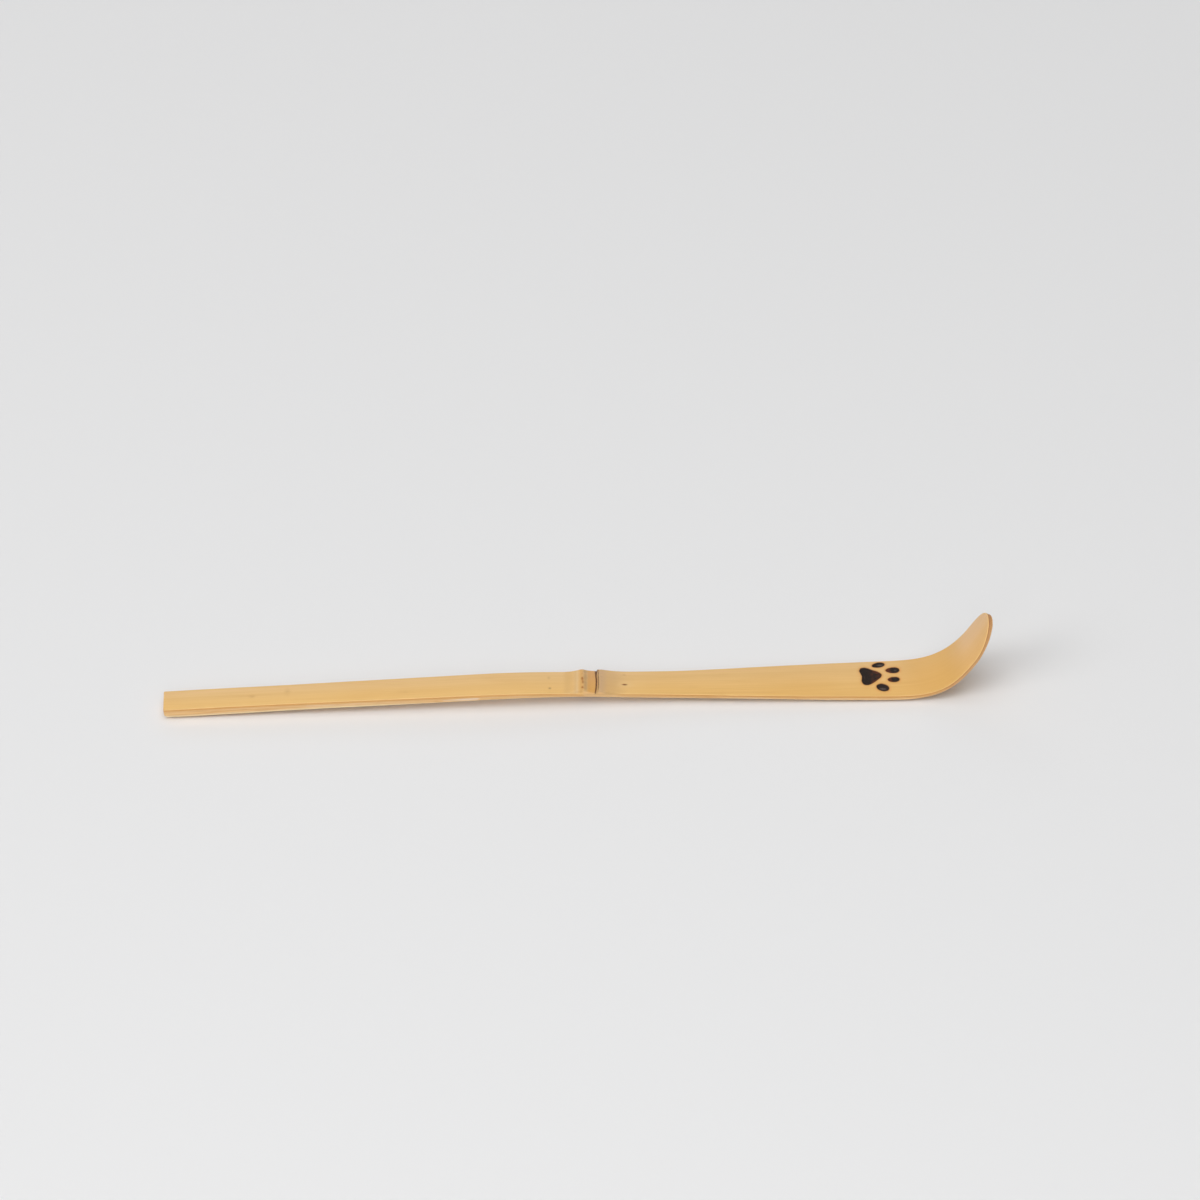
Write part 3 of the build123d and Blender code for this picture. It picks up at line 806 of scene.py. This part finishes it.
# ---------------------------------------------------------------------------
# Skin pieces
# ---------------------------------------------------------------------------
def bevel_of(s, eta):
    """Width and drop of the softened arris; the near side was shaved more at the joint."""
    near = hill(s, 92.0, 3.6)
    side = np.clip(0.5 - 0.5 * eta, 0, 1)
    crisp = side * hill(s, 153.0, 9.0)
    wide = 0.17 - 0.06 * crisp + near * (0.03 + 0.10 * side)
    fall = 0.15 - 0.09 * crisp + near * (0.03 + 0.12 * side)
    return wide, fall


def skin_top(s, y):
    return crown(s, y) + swell(s, y) + skin_relief(s, y)


def skin_face(s, y, ease):
    d = mark_distance(s, y)
    pocket = 0.20 * (1 - step(-0.10, 0.02, d)) - 0.008 * hill(d, 0.07, 0.06)
    dent = 0.035 * spot(s, y, 99.66, -0.75, 0.55, 0.3)
    return skin_top(s, y) - pocket - dent - 0.8 * ease


BEVEL = [(0.25, 0.035), (0.50, 0.14), (0.72, 0.32), (0.89, 0.60), (1.0, 1.0)]


def skin_rim(k, s_row, eta, es, ey, ease):
    wide, fall = bevel_of(es, eta)
    total = rind(es)
    if k < len(BEVEL):
        g, h = BEVEL[k]
        inset = wide * (1 - g)
        drop_by = fall * h

        def level(s, y):
            return skin_top(s, y) - drop_by - 0.8 * ease
    else:
        f = (k - len(BEVEL) + 1) / 3.0
        inset = SIDE_DRAFT * f * 0.3 + 0.012 * (1 + noise(es / 7.0, f * 6 + 3, 61)) * (f < 0.99)
        drop_by = fall + f * (total - fall) + 0.0 * es

        def level(s, y):
            a = skin_top(s, y) - fall - 0.8 * ease
            b = crown(s, y) - total
            return a * (1 - f) + b * f

    reach = np.hypot(wide * (BEVEL[min(k, 4)][0]), drop_by)
    return inset, level, reach


def skin_meets_flesh(s, y):
    return crown(s, y) - rind(s)


def skin_inset(s, eta):
    return bevel_of(s, eta)[0]


def skin_side(k):
    return [0.03, 0.08, 0.13, 0.18, 0.28, 0.75, 1.0, 1.0][k]


def make_skin(name, node, run, eta, material, rows, tip=False):
    sh, colour = strip_piece(name, run, eta, np.linspace(-1, 1, 9), skin_face, skin_rim, 8, skin_meets_flesh,
                             SIDE_DRAFT * 0.3, material, rows, skin_marks, tip, skin_inset, skin_side)
    ob = sh.finish(name, material, rows, colour)
    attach(ob, "root")
    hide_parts(node)
    return ob


def tail_ease(stations):
    return np.interp(stations, [0.0, 0.035, 0.09, 0.18, 0.3], [0.15, 0.075, 0.028, 0.005, 0.0])


def even(count):
    """Columns across the strip, a little closer together towards its edges."""
    t = np.linspace(-1, 1, count)
    return np.sin(t * math.pi / 2 * 0.55) / math.sin(math.pi / 2 * 0.55)


def tip_columns(count):
    """Columns across the blade that also fan evenly round the tip."""
    t = np.linspace(-1, 1, count)
    return np.sin(t * math.pi / 2 * 0.86) / math.sin(math.pi / 2 * 0.86)


def before_scar(y):
    return scar_line(y) - 0.20


def after_scar(y):
    return scar_line(y) + 0.74


handle_s = np.concatenate([[0.0, 0.035, 0.09, 0.18], lengths((0.3, 82.0, 0.32), (82.0, RIDGE_START, 0.18))])
make_skin("look_handle_rind", "handle_rind", Run(handle_s, end_ease=tail_ease(handle_s)), even(57), skin_mat, 3)
make_skin("look_nodal_ridge", "nodal_ridge",
          Run(lengths((RIDGE_START, SCAR_AT - 0.20, 0.085)), end=before_scar), even(65), ridge_mat, 1)
make_skin("look_sheath_scar", "sheath_scar",
          Run(lengths((SCAR_AT - 0.20, SCAR_AT + 0.74, 0.03)), start=before_scar, end=after_scar), even(97), scar_mat, 1)
blade_s = lengths((SCAR_AT + 0.74, 102.0, 0.13), (102.0, 149.4, 0.42), (149.4, 161.2, 0.085),
                  (161.2, 166.0, 0.22), (166.0, STRIP_LENGTH, 0.22))
make_skin("look_blade_rind", "blade_rind", Run(blade_s, start=after_scar, tip=True), tip_columns(113), skin_mat, 3, True)


# ---------------------------------------------------------------------------
# Flesh
# ---------------------------------------------------------------------------
def under_face(s, y, ease):
    """Whittled underside: long shallow knife strokes, fibres, and the trimmed root of the partition wall."""
    stroke = np.abs(np.mod(y / 3.1 + 0.25 * noise(s / 26.0, 0.5, 71) + 0.5, 1.0) - 0.5)
    relief = (0.030 * (stroke - 0.25) + 0.010 * noise(s / 16.0, y / 0.42 + 11, 72)
              + 0.012 * noise(s / 5.0, y / 1.7 + 4, 73))
    root = 0.05 * hill(s, 91.6, 1.1) * (0.6 + 0.6 * noise(s * 0.9, y * 0.9, 74))
    e = np.clip(np.abs(y) / (width(s) / 2 - SIDE_DRAFT - 0.1), 0, 1)
    bulge = 1 - np.clip((e - 0.40) / 0.60, 0, 1) ** 1.4
    return -thick(s) - belly(s) * bulge - (relief + root) * (1 - e ** 6) + 0.8 * ease + tail_round(s)


def tail_round(s):
    """The lower edge of the tail is worn round."""
    t = np.clip(1 - s / 1.0, 0, 1)
    return 0.80 * (1 - np.sqrt(1 - t * t))


FLESH_RINGS = 11


def flesh_rim(k, s_row, eta, es, ey, ease):
    """Rings from the underside's edge, round its corner and up the side to the skin."""
    t, r = thick(es), rind(es)
    corner = np.minimum(0.16, 0.25 * (t - r))
    if k < 3:
        g = (k + 1) / 3.0
        inset = SIDE_DRAFT + corner * (1 - math.sin(g * math.pi / 2))
        up = corner * (1 - math.cos(g * math.pi / 2))
        reach = corner * g * 1.5
        f = up / (t - r)
    else:
        f0 = corner / (t - r)
        f = f0 + (1 - f0) * (k - 2) / (FLESH_RINGS - 3)
        depth = t - f * (t - r)
        rough = 0.020 * (noise(es / 9.0, depth / 0.22 + 17, 81) + 1) * (f < 0.985)
        inset = SIDE_DRAFT * (0.3 + 0.7 * (depth - r) / (t - r)) + rough
        reach = corner * 1.5 + f * (t - r)
    rises = f * 1.0

    def level(s, y):
        low = -thick(s) + 0.8 * ease + tail_round(s)
        return low + (crown(s, y) - rind(s) - low) * rises

    return inset + 0.0 * es, level, reach + 0.0 * es


def flesh_meets_skin(s, y):
    return crown(s, y) - rind(s) - 0.002


def flesh_inset(s, eta):
    return SIDE_DRAFT + np.minimum(0.16, 0.25 * (thick(s) - rind(s))) + 0.0 * eta


def flesh_side(k):
    return [0.15, 0.45, 0.8, 1, 1, 1, 1, 1, 1, 1, 1][k]


flesh_s = np.concatenate([[0.0, 0.035, 0.09, 0.18], lengths((0.3, 1.2, 0.10), (1.2, 160.0, 0.42), (160.0, 166.0, 0.26), (166.0, STRIP_LENGTH, 0.26))])
sheet, marks = strip_piece("look_bamboo_flesh", Run(flesh_s, tip=True, end_ease=tail_ease(flesh_s)), tip_columns(49),
                           np.linspace(-1, 1, 9), under_face, flesh_rim, FLESH_RINGS, flesh_meets_skin, SIDE_DRAFT * 0.3,
                           flesh_mat, 4, flesh_marks, True, flesh_inset, flesh_side)
flesh = sheet.finish("look_bamboo_flesh", flesh_mat, 4, marks)
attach(flesh, "root")
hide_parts("bamboo_flesh")


# ---------------------------------------------------------------------------
# Charred floors of the burnt marks
# ---------------------------------------------------------------------------
def make_char(node, loop, seed):
    centre = loop.mean(0)
    count = len(loop)
    d_in = loop - centre
    rings = [1.0, 0.985, 0.965, 0.94, 0.91, 0.87, 0.82, 0.76, 0.69, 0.61, 0.52, 0.42, 0.31, 0.19, 0.08]
    shrink = 1 - 0.03 / np.linalg.norm(d_in, axis=1)
    sh = Sheet()
    ids, flats = [], []

    def at(f, n):
        p = centre + d_in * (shrink * f)[:, None]
        s, y = p[:, 0], p[:, 1]
        return s, y, crown(s, y) + n(s, y)

    def floor(f):
        def n(s, y):
            d = -distance_to(loop, s, y)
            sag = 0.055 + 0.075 * step(0.0, 0.45, d)
            crackle = 0.010 * noise(s * 2.4, y * 5.0, seed) + 0.006 * noise(s * 6.0, y * 11.0, seed + 1)
            return -sag - crackle * step(0.02, 0.2, d)
        return n

    # underside first, then up the wall, then in over the burnt floor
    s, y, n = at(np.ones(count), lambda s, y: -0.195 + 0 * s)
    ids.append(sh.add(s, y, n, 1.0))
    flats.append(np.stack([s + 0.15 * d_in[:, 0], y + 0.15 * d_in[:, 1]], -1))
    for f in rings:
        s, y, n = at(np.full(count, f), floor(f))
        ids.append(sh.add(s, y, n, 0.0))
        flats.append(np.stack([s, y], -1))
    ring = np.stack([np.append(i, i[0]) for i in ids], 0)
    flat = np.stack([np.concatenate([f, f[:1]]) for f in flats], 0)
    sh.quads(ring, flat)
    cs, cy = centre
    mid_n = float(crown(np.array(cs), np.array(cy)) - 0.13)
    top = sh.add(cs, cy, mid_n).ravel()[0]
    low = sh.add(cs, cy, float(crown(np.array(cs), np.array(cy)) - 0.195), 1.0).ravel()[0]
    for k in range(count):
        k2 = (k + 1) % count
        sh.face((ids[-1][k], top, ids[-1][k2]), (flats[-1][k], centre, flats[-1][k2]))
        off = np.array([0.0, loop[:, 1].max() - loop[:, 1].min() + 0.5])
        sh.face((ids[0][k2], low, ids[0][k]), (0.2 * d_in[k2] + centre + off, centre + off, 0.2 * d_in[k] + centre + off))

    def colour(grain, extra):
        s, y = grain[:, 0], grain[:, 1]
        d = -distance_to(loop, s, y)
        if node == "char_pad":
            brown = 0.75 * step(152.2, 154.4, s) * (0.65 + 0.5 * noise(s * 1.7, y * 1.9, 91)) * (1 - 0.3 * hill(y, 0.3, 0.5)) + 0.5 * step(0.55, 0.05, d) * step(152.6, 153.6, s) * step(0.3, -0.5, y)
        elif node == "char_toe_far_outer":
            brown = 0.1 + 0.0 * s
        elif node == "char_toe_near_outer":
            brown = 0.15 + 0.2 * noise(s * 1.7, y * 2.0, 92)
        else:
            brown = 1 - step(-1.25, 0.1, s - centre[0])
            brown = np.clip(brown + 0.25 * step(0.0, 0.5, centre[1] - y), 0, 1)
        # where the painted grey sheen lies on each mark
        ash = {"char_pad": 0.35 * spot(s, y, 151.9, 0.2, 0.25, 0.9),
               "char_toe_far_outer": spot(s - 0.6 * (y - 4.0), y, 155.70, 4.00, 0.80, 0.32),
               "char_toe_far_inner": 0.55 * spot(s, y, 158.85, 2.2, 0.45, 0.35),
               "char_toe_near_inner": 0.30 * spot(s, y, 158.7, -0.7, 0.35, 0.25),
               "char_toe_near_outer": spot(s + 0.5 * (y + 3.2), y, 155.60, -3.20, 0.75, 0.32)}[node]
        return {"brown": np.clip(brown, 0, 1), "ash": np.clip(ash, 0, 1), "rim": (1 - step(0.02, 0.20, d)) * (1 - 0.6 * np.clip(brown, 0, 1))}

    ob = sh.finish("look_" + node, char_mat, 1, colour)
    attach(ob, "root")
    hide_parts(node)
    return ob


for number, (node, loop) in enumerate(MARKS.items()):
    make_char(node, loop, 101 + 7 * number)

# ---------------------------------------------------------------------------
# Floor, light and camera
# ---------------------------------------------------------------------------
floor_me = bpy.data.meshes.new("floor")
R = 3.0
floor_me.from_pydata([(-R, -R, -0.00002), (R, -R, -0.00002), (R, R, -0.00002), (-R, R, -0.00002)], [], [(0, 1, 2, 3)])
floor = bpy.data.objects.new("floor", floor_me)
bpy.context.scene.collection.objects.link(floor)
floor_mat = bpy.data.materials.new("pale_floor")
floor_mat.use_nodes = True
floor_bsdf = next(n for n in floor_mat.node_tree.nodes if n.type == "BSDF_PRINCIPLED")
floor_bsdf.inputs["Base Color"].default_value = (0.80, 0.80, 0.803, 1.0)
floor_bsdf.inputs["Roughness"].default_value = 0.75
floor_bsdf.inputs["Specular IOR Level"].default_value = 0.2
floor_me.materials.append(floor_mat)

world = bpy.data.worlds.new("studio")
world.use_nodes = True
bg = next(n for n in world.node_tree.nodes if n.type == "BACKGROUND")
bg.inputs["Color"].default_value = (1.0, 1.0, 1.0, 1.0)
bg.inputs["Strength"].default_value = 0.229
towards = world.node_tree.nodes.new("ShaderNodeTexCoord")
parts = world.node_tree.nodes.new("ShaderNodeSeparateXYZ")
falloff = world.node_tree.nodes.new("ShaderNodeMapRange")
falloff.inputs["From Min"].default_value, falloff.inputs["From Max"].default_value = -1.0, 1.0
falloff.inputs["To Min"].default_value, falloff.inputs["To Max"].default_value = 0.229 * 1.55, 0.229 * 0.45
world.node_tree.links.new(towards.outputs["Generated"], parts.inputs["Vector"])
world.node_tree.links.new(parts.outputs["X"], falloff.inputs["Value"])
world.node_tree.links.new(falloff.outputs["Result"], bg.inputs["Strength"])
bpy.context.scene.world = world


def lamp(name, at, aim, size, power, tint=(1, 1, 1)):
    data = bpy.data.lights.new(name, "AREA")
    data.shape = "RECTANGLE"
    data.size, data.size_y = size
    data.energy = power
    data.color = tint
    ob = bpy.data.objects.new(name, data)
    bpy.context.scene.collection.objects.link(ob)
    z = np.array(at, float) - np.array(aim, float)
    z /= np.linalg.norm(z)
    x = np.cross((0, 0, 1.0), z)
    x = x / np.linalg.norm(x) if np.linalg.norm(x) > 1e-6 else np.array((1.0, 0, 0))
    y = np.cross(z, x)
    m = Matrix.Identity(4)
    for i in range(3):
        m[i][0], m[i][1], m[i][2], m[i][3] = x[i], y[i], z[i], at[i]
    ob.matrix_world = m
    return ob


lamp("overhead", (0.0, 0.0, 2.50), (0.0, 0.0, 0.0), (2.1, 1.35), 17.6)
lamp("overhead_front", (0.0, -0.80, 2.33), (0.0, 0.0, 0.0), (1.87, 0.93), 11.3)
lamp("front", (0.0, -0.50, 0.74), (0.0, 0.0, 0.0), (0.58, 0.26), 0.65)
lamp("front_low", (0.0, -0.62, 0.42), (0.0, 0.0, 0.0), (0.55, 0.20), 0.55)
lamp("left", (-1.35, -0.81, 1.89), (0.0, 0.0, 0.0), (0.95, 1.08), 7.25)
lamp("left_low", (-1.49, -0.74, 1.16), (0.0, 0.0, 0.0), (0.95, 0.68), 6.9)
lamp("back", (0.0, 1.49, 0.88), (0.0, 0.0, 0.0), (1.9, 0.54), 3.15)

cam_data = bpy.data.cameras.new("camera")
cam_data.sensor_fit = "AUTO"
cam_data.sensor_width = 36.0
cam_data.lens = 4146.6 / 1200.0 * 36.0
cam_data.clip_start, cam_data.clip_end = 0.05, 20.0
cam = bpy.data.objects.new("camera", cam_data)
bpy.context.scene.collection.objects.link(cam)
yaw, lift = math.radians(-2.8137), math.radians(45.0)
back = np.array([math.sin(yaw) * math.cos(lift), -math.cos(yaw) * math.cos(lift), math.sin(lift)])
right = np.array([math.cos(yaw), math.sin(yaw), 0.0])
up = np.cross(back, right)
aim = np.array([(95.7139 - X_MID) * MM, 28.3745 * MM, 0.6 * MM])
aim = aim + 0.000089 * up
at = aim + 0.920 * back
cm = Matrix.Identity(4)
for i in range(3):
    cm[i][0], cm[i][1], cm[i][2], cm[i][3] = right[i], up[i], back[i], at[i]
cam.matrix_world = cm
bpy.context.scene.camera = cam
bpy.context.scene.view_settings.view_transform = "Standard"
bpy.context.scene.view_settings.look = "None"
